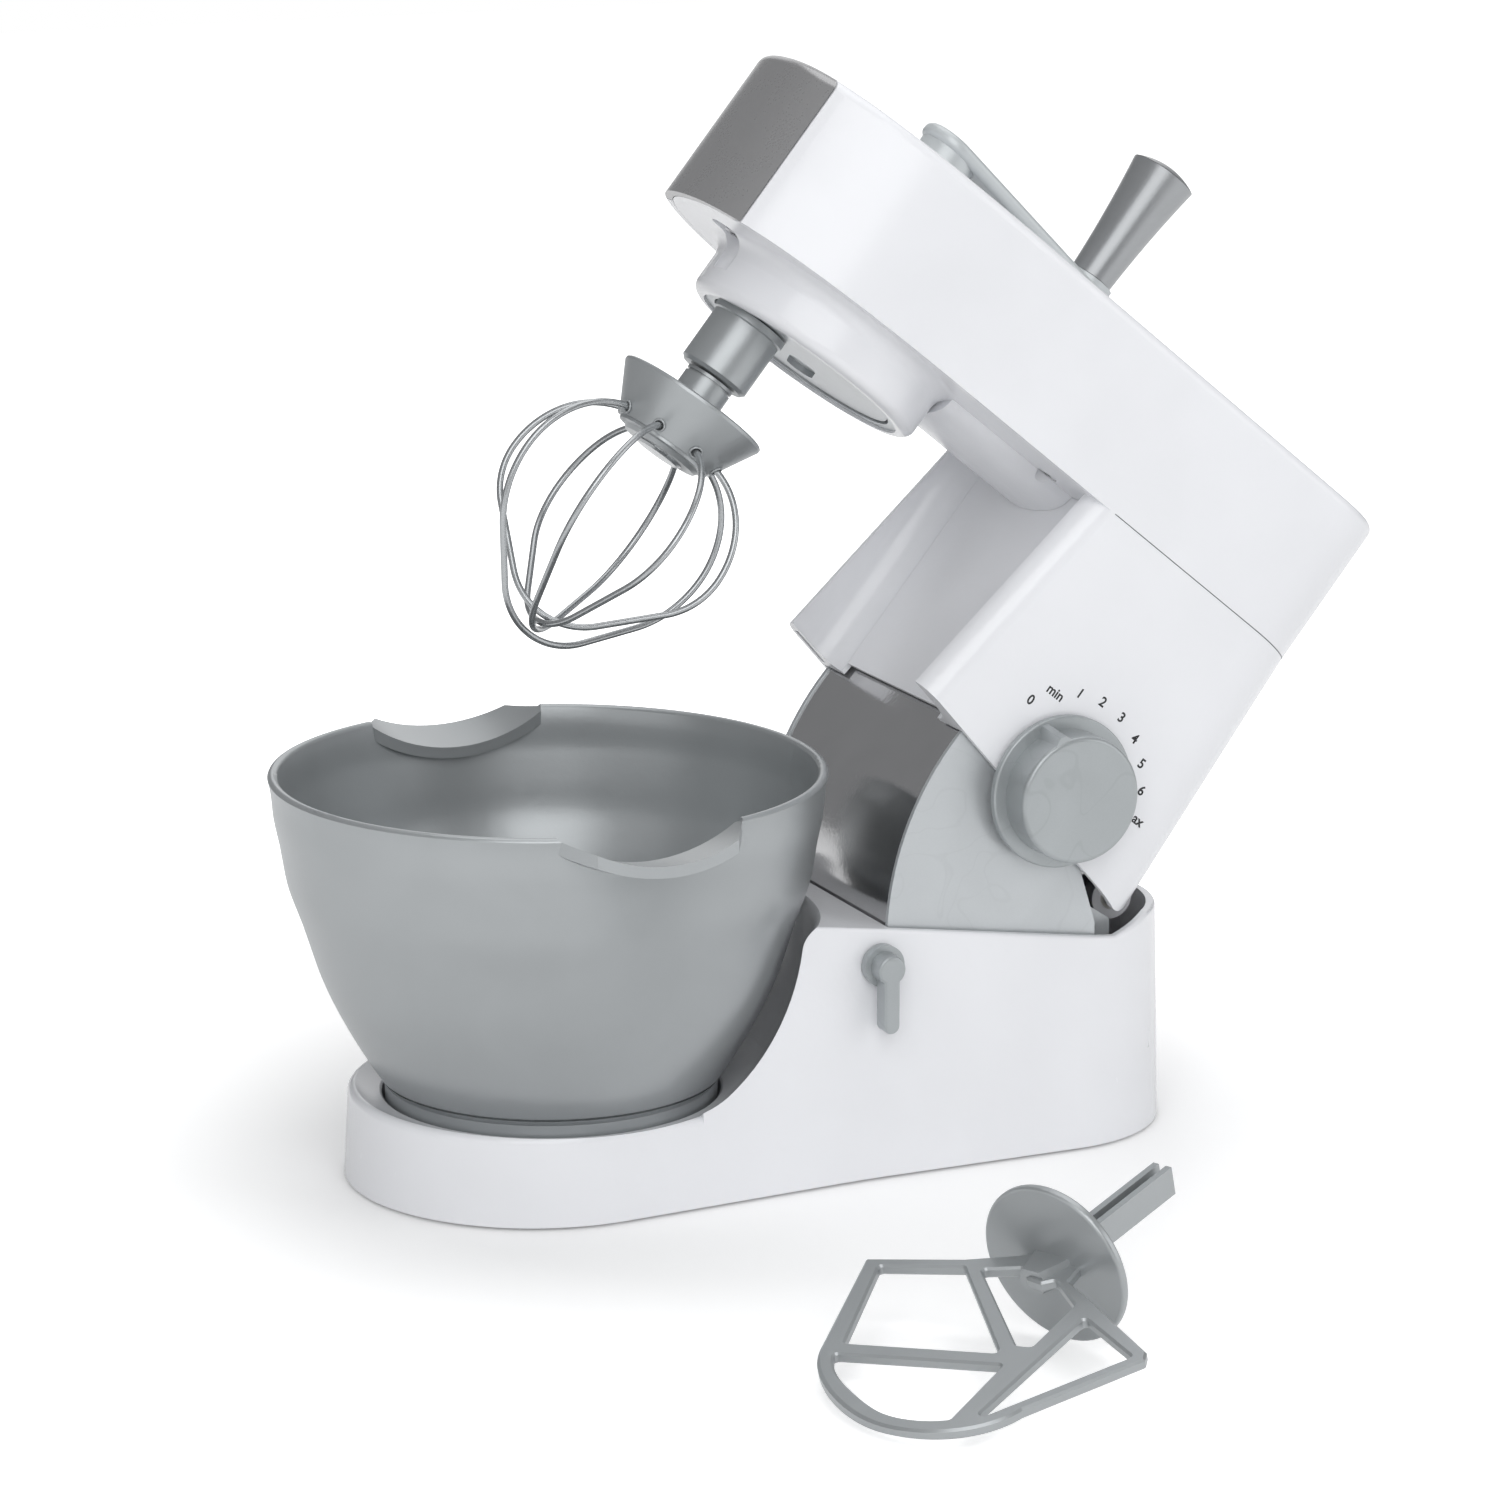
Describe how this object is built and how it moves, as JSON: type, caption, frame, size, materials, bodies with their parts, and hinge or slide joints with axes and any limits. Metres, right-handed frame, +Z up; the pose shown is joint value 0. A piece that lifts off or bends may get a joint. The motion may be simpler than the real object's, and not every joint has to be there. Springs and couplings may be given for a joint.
{
  "type": "toy stand mixer",
  "caption": "Toy stand mixer with a hand crank on its lifting head, a planetary whisk over a drop-in bowl, a speed dial, a lock lever and a spare flat beater.",
  "frame": {"origin": "on the ground, at the centre of the base's four feet", "axes": "+Z up; -X is the front, where the bowl sits; -Y is the side with the speed dial and the lock lever"},
  "size_m": [0.322, 0.3341, 0.3103],
  "materials": {
    "white": "semi-gloss white moulding",
    "nose_grey": "satin mid grey",
    "light_grey": "silver grey, semi-gloss",
    "dark_grey": "dark satin",
    "silver_grey": "metallic silver grey, semi-gloss",
    "pale_arm": "pale grey green",
    "bush": "natural bearing plastic",
    "rubber": "matt black",
    "steel": "plain steel",
    "wire": "silver grey, glossy"
  },
  "bodies": {
    "base": {"base_housing": "white", "base_plate": "dark_grey", "rubber_feet": "rubber", "base_plate_screws": "steel", "drum_screws": "steel", "drum_housing": "light_grey", "drum_front": "dark_grey", "hinge_bracket_near": "steel", "hinge_bracket_far": "steel", "hinge_rod": "steel", "lever_bush": "bush"},
    "head": {"hinge_bush_near": "bush", "hinge_bush_far": "bush", "pillar_shell": "white", "pillar_front_panel": "white", "pillar_screws": "steel", "head_cover": "white", "nose_cap": "nose_grey", "head_base": "white", "head_screws": "steel", "trim_ring": "light_grey", "ring_gear": "dark_grey", "shaft_bush_low": "bush", "shaft_bush_top": "bush", "dial_click_spring": "steel"},
    "crank": {"crank_shaft": "steel", "crank_arm": "pale_arm", "crank_screw": "steel", "crank_cap": "pale_arm", "carrier_plate": "light_grey", "planet_bush": "bush", "knob_pin": "steel", "knob_clip": "steel"},
    "crank_knob": {"crank_knob": "silver_grey", "knob_cap": "silver_grey"},
    "planet": {"planet_gear": "dark_grey", "whisk_socket": "silver_grey", "spindle_clip": "steel"},
    "whisk": {"whisk_shank": "silver_grey", "whisk_cone": "silver_grey", "whisk_disc": "silver_grey", "whisk_plug": "wire", "whisk_wire_1": "wire", "whisk_wire_2": "wire", "whisk_wire_3": "wire", "whisk_wire_4": "wire"},
    "speed_dial": {"speed_dial": "light_grey", "dial_washer": "steel", "dial_screw": "steel"},
    "lift_lever": {"lift_lever": "light_grey", "lever_shaft": "steel", "lever_clip": "steel", "latch_hook": "dark_grey"},
    "mixing_bowl": {"mixing_bowl": "silver_grey"},
    "flat_beater": {"flat_beater": "silver_grey"}
  },
  "joints": [
    {"name": "head_tilt", "type": "hinge", "parent": "base", "child": "head", "pos_m": [0.102, 0, 0.0665], "axis": [0, 1, 0], "range_deg": [-39.17, 0]},
    {"name": "crank_turn", "type": "hinge", "parent": "head", "child": "crank", "pos_m": [0.01787, 0, 0.22985], "axis": [0.6316, 0, 0.7753], "continuous": true},
    {"name": "knob_spin", "type": "hinge", "parent": "crank", "child": "crank_knob", "pos_m": [0.11422, 0, 0.25454], "axis": [0.6316, 0, 0.7753], "continuous": true},
    {"name": "planet_spin", "type": "hinge", "parent": "crank", "child": "planet", "pos_m": [0.00275, 0, 0.24216], "axis": [0.6316, 0, 0.7753], "continuous": true},
    {"name": "whisk_pull", "type": "slide", "parent": "planet", "child": "whisk", "axis": [-0.6316, 0, -0.7753], "range_m": [0, 0.025]},
    {"name": "dial_turn", "type": "hinge", "parent": "head", "child": "speed_dial", "pos_m": [0.07198, -0.0489, 0.10708], "axis": [0, 1, 0], "range_deg": [0, 131.2]},
    {"name": "lever_turn", "type": "hinge", "parent": "base", "child": "lift_lever", "pos_m": [0.0165, -0.05, 0.063], "axis": [0, 1, 0], "range_deg": [0, 25]},
    {"name": "bowl_lift", "type": "slide", "parent": "base", "child": "mixing_bowl", "axis": [0, 0, 1], "range_m": [0, 0.04]},
    {"name": "beater_lift", "type": "slide", "parent": "base", "child": "flat_beater", "axis": [0, 0, 1], "range_m": [0, 0.05]}
  ],
  "couplings": [
    {"joint": "planet_spin", "follows": "crank_turn", "ratio": -3.7857}
  ]
}
